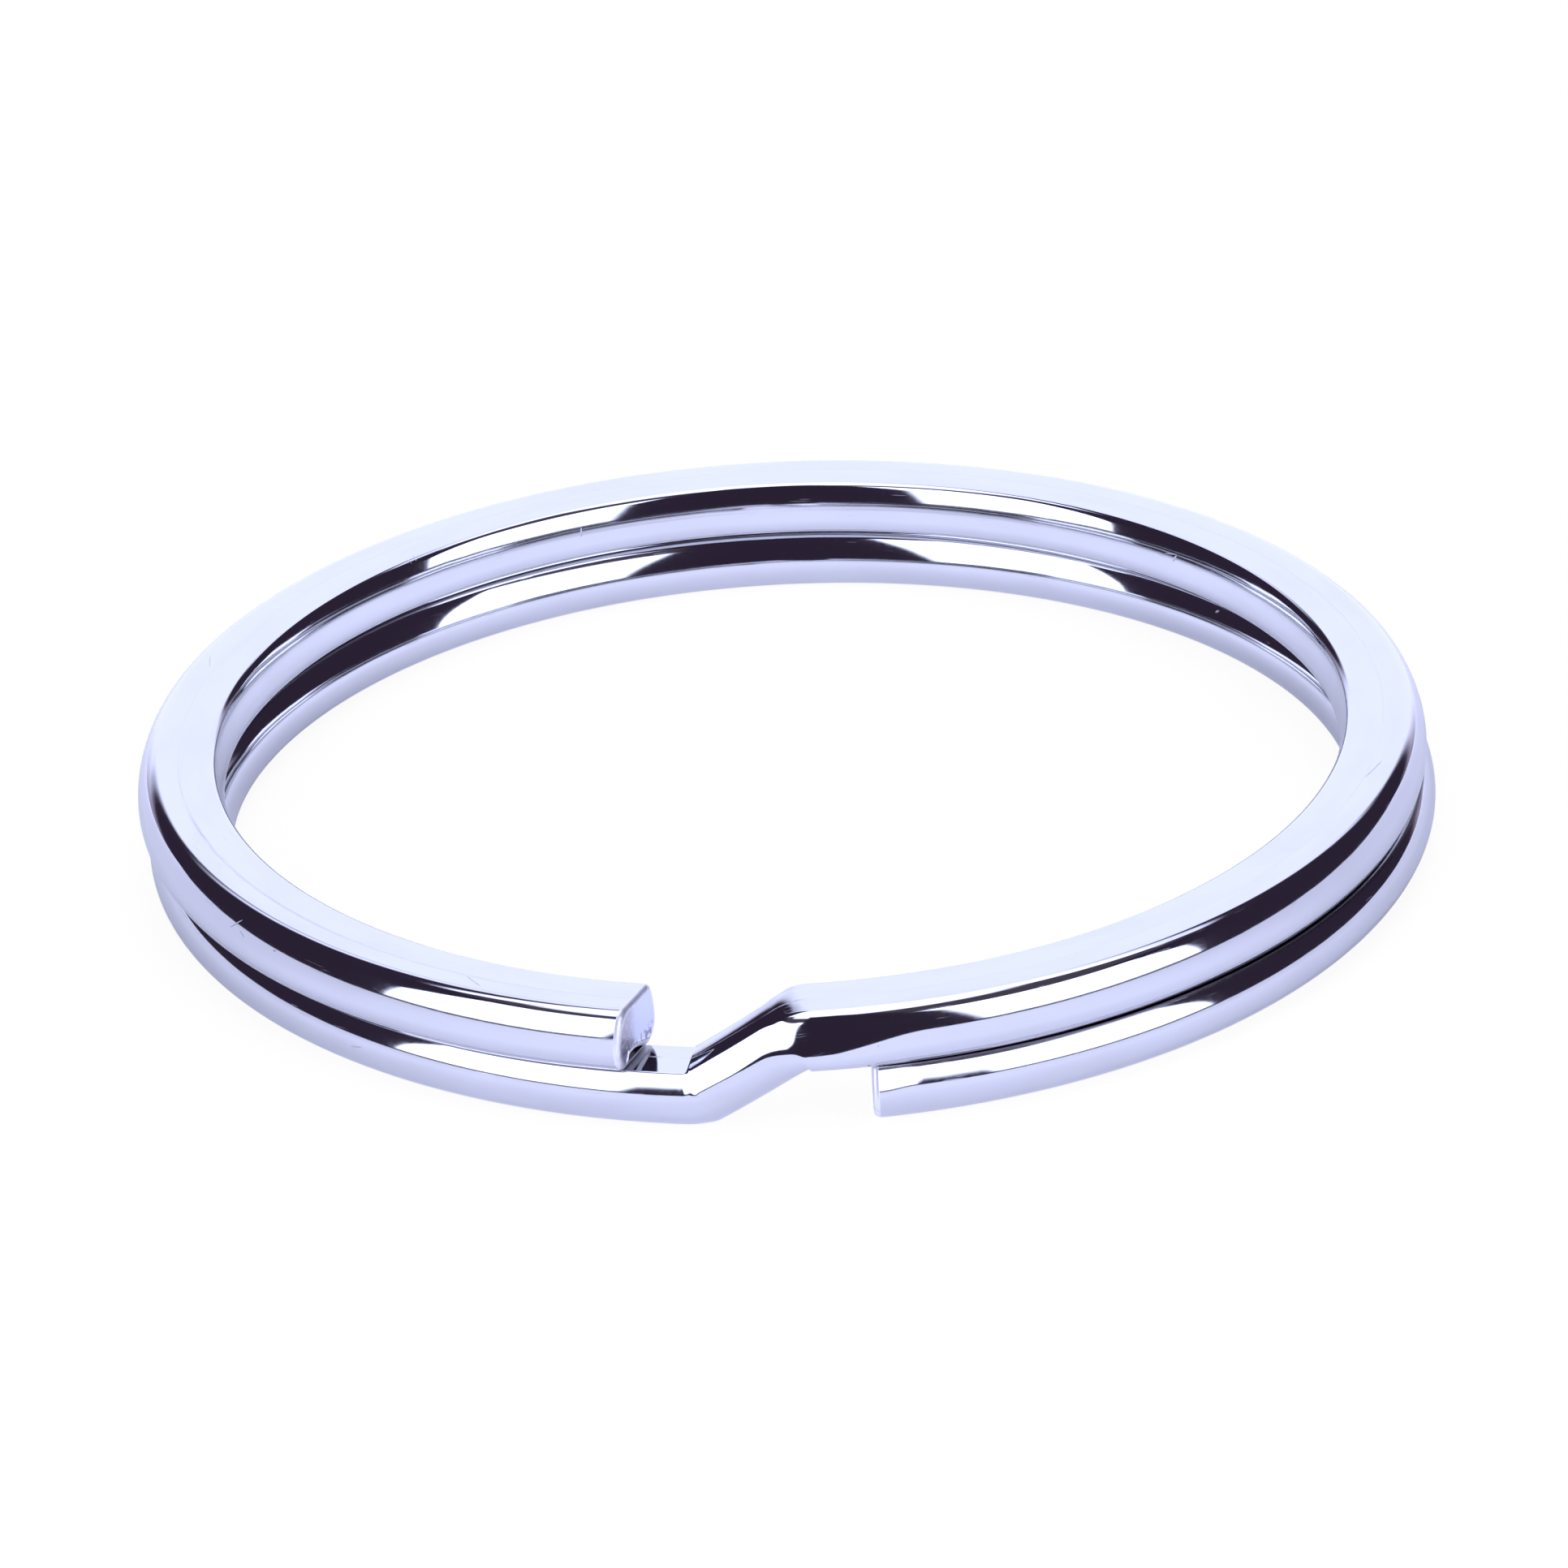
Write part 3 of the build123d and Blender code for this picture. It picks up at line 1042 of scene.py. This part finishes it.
# Each card covers the ones before it: ceiling, gaps under it, openings at both sides of the
# back, panels at both sides of the front with the shade at their feet, opening at the front
TENT = [
    Card(CEILING, (-181, 181), (1, 1), (68, 95), (8, 1)),
    Card(CEILING, (-64, 64), (6, 6), (59, 95), (4, 1)),
    Card(GAP, (-165, -64), (4, 6), (50, 68), (4, 4)),
    Card(GAP, (64, 170), (6, 4), (41, 72), (4, 4)),
    Card(HAZE, (-60, -28), (4, 20), (-4, 26), (2, 12)),
    Card(HAZE, (32, 60), (16, 4), (-4, 22), (2, 12)),
    Card(DARK, (-108, -48), (1.5, 12), (-5, 60), (1, 4), (0, 0.7)),
    Card(DARK, (-108, -48), (1.5, 12), (-5, 34), (1, 6), (0, 1.3)),
    Card(DARK, (48, 108), (10, 1.5), (-5, 53), (1, 3), (-0.6, 0)),
    Card(DARK, (48, 108), (9, 1.5), (-5, 34), (1, 6), (-0.9, 0)),
    Card(PANEL, (-168, -107.5), (2, 1), (2.0, 53), (1, 2)),
    Card(PANEL, (107.5, 168), (1, 2), (2.0, 45), (1, 2)),
    Card(FOOT, (-157, -107.5), (2, 1), (-5, 3.0), (1, 1)),
    Card(FOOT, (107.5, 157), (1, 2), (-5, 3.0), (1, 1)),
    Card(DARK, (148, 191), (3, 1), (-5, 76), (1, 4), (0.16, 0)),
    Card(DARK, (-191, -148), (1, 3), (-5, 76), (1, 4), (0, -0.16)),
]


def tent_world():
    """The light tent round the ring, drawn by direction."""
    world = bpy.data.worlds.new("light_tent")
    world.use_nodes = True
    bpy.context.scene.world = world
    n = Nodes(world.node_tree)
    x, y, z = n.parts(n.add("ShaderNodeTexCoord").outputs["Generated"])
    azimuth = n.math("DEGREES", n.math("ARCTAN2", x, y))
    elevation = n.math("DEGREES", n.math("ARCSINE", z))
    colour = n.mix(0.0, BACKDROP, BACKDROP)
    for card in TENT:
        share = 1.0
        sides = (
            (azimuth, card.azimuth, card.azimuth_soft, card.slant),
            (elevation, card.elevation, card.elevation_soft, (0, 0)),
        )
        for value, ends, soft, slant in sides:
            low = n.math("MULTIPLY_ADD", elevation, -slant[0], value)
            high = n.math("MULTIPLY_ADD", elevation, -slant[1], value)
            rise = n.ramp(low, ends[0] - soft[0] / 2, ends[0] + soft[0] / 2)
            fall = n.ramp(high, ends[1] - soft[1] / 2, ends[1] + soft[1] / 2, 1.0, 0.0)
            share = n.math("MULTIPLY", share, n.math("MULTIPLY", rise, fall))
        colour = n.mix(share, colour, card.colour)
    background = n.add("ShaderNodeBackground")
    n.plug(colour, background.inputs["Color"])
    n.output("ShaderNodeOutputWorld", background.outputs[0])


CAMERA_ELEVATION = radians(26.33)
CAMERA_ROLL = radians(-3.05)
CAMERA_DISTANCE = 237.3 * MM
CAMERA_SENSOR = 36.0        # width, in the camera's own millimetres
CAMERA_LENS = 235.1
CAMERA_SIDE = -0.059 * MM   # shifts of the camera across its view
CAMERA_RISE = -0.191 * MM
CAMERA_NEAR = 10 * MM
CAMERA_FAR = 50.0


def place_camera():
    """A long lens in front of the ring, looking down at it."""
    data = bpy.data.cameras.new("camera")
    data.lens = CAMERA_LENS
    data.sensor_width = CAMERA_SENSOR
    data.clip_start = CAMERA_NEAR
    data.clip_end = CAMERA_FAR
    camera = bpy.data.objects.new("camera", data)
    bpy.context.collection.objects.link(camera)
    level = Matrix.Rotation(pi / 2 - CAMERA_ELEVATION, 4, "X")
    turned = level @ Matrix.Rotation(CAMERA_ROLL, 4, "Z")
    place = turned @ Vector((CAMERA_SIDE, CAMERA_RISE, CAMERA_DISTANCE))
    camera.matrix_world = Matrix.Translation(place) @ turned
    bpy.context.scene.camera = camera


visual_low = min(v.co.z for o in (lower_end, lower_back) for v in o.data.vertices)
pale_floor(visual_low)
tent_world()
place_camera()
bpy.context.scene.view_settings.view_transform = "Standard"
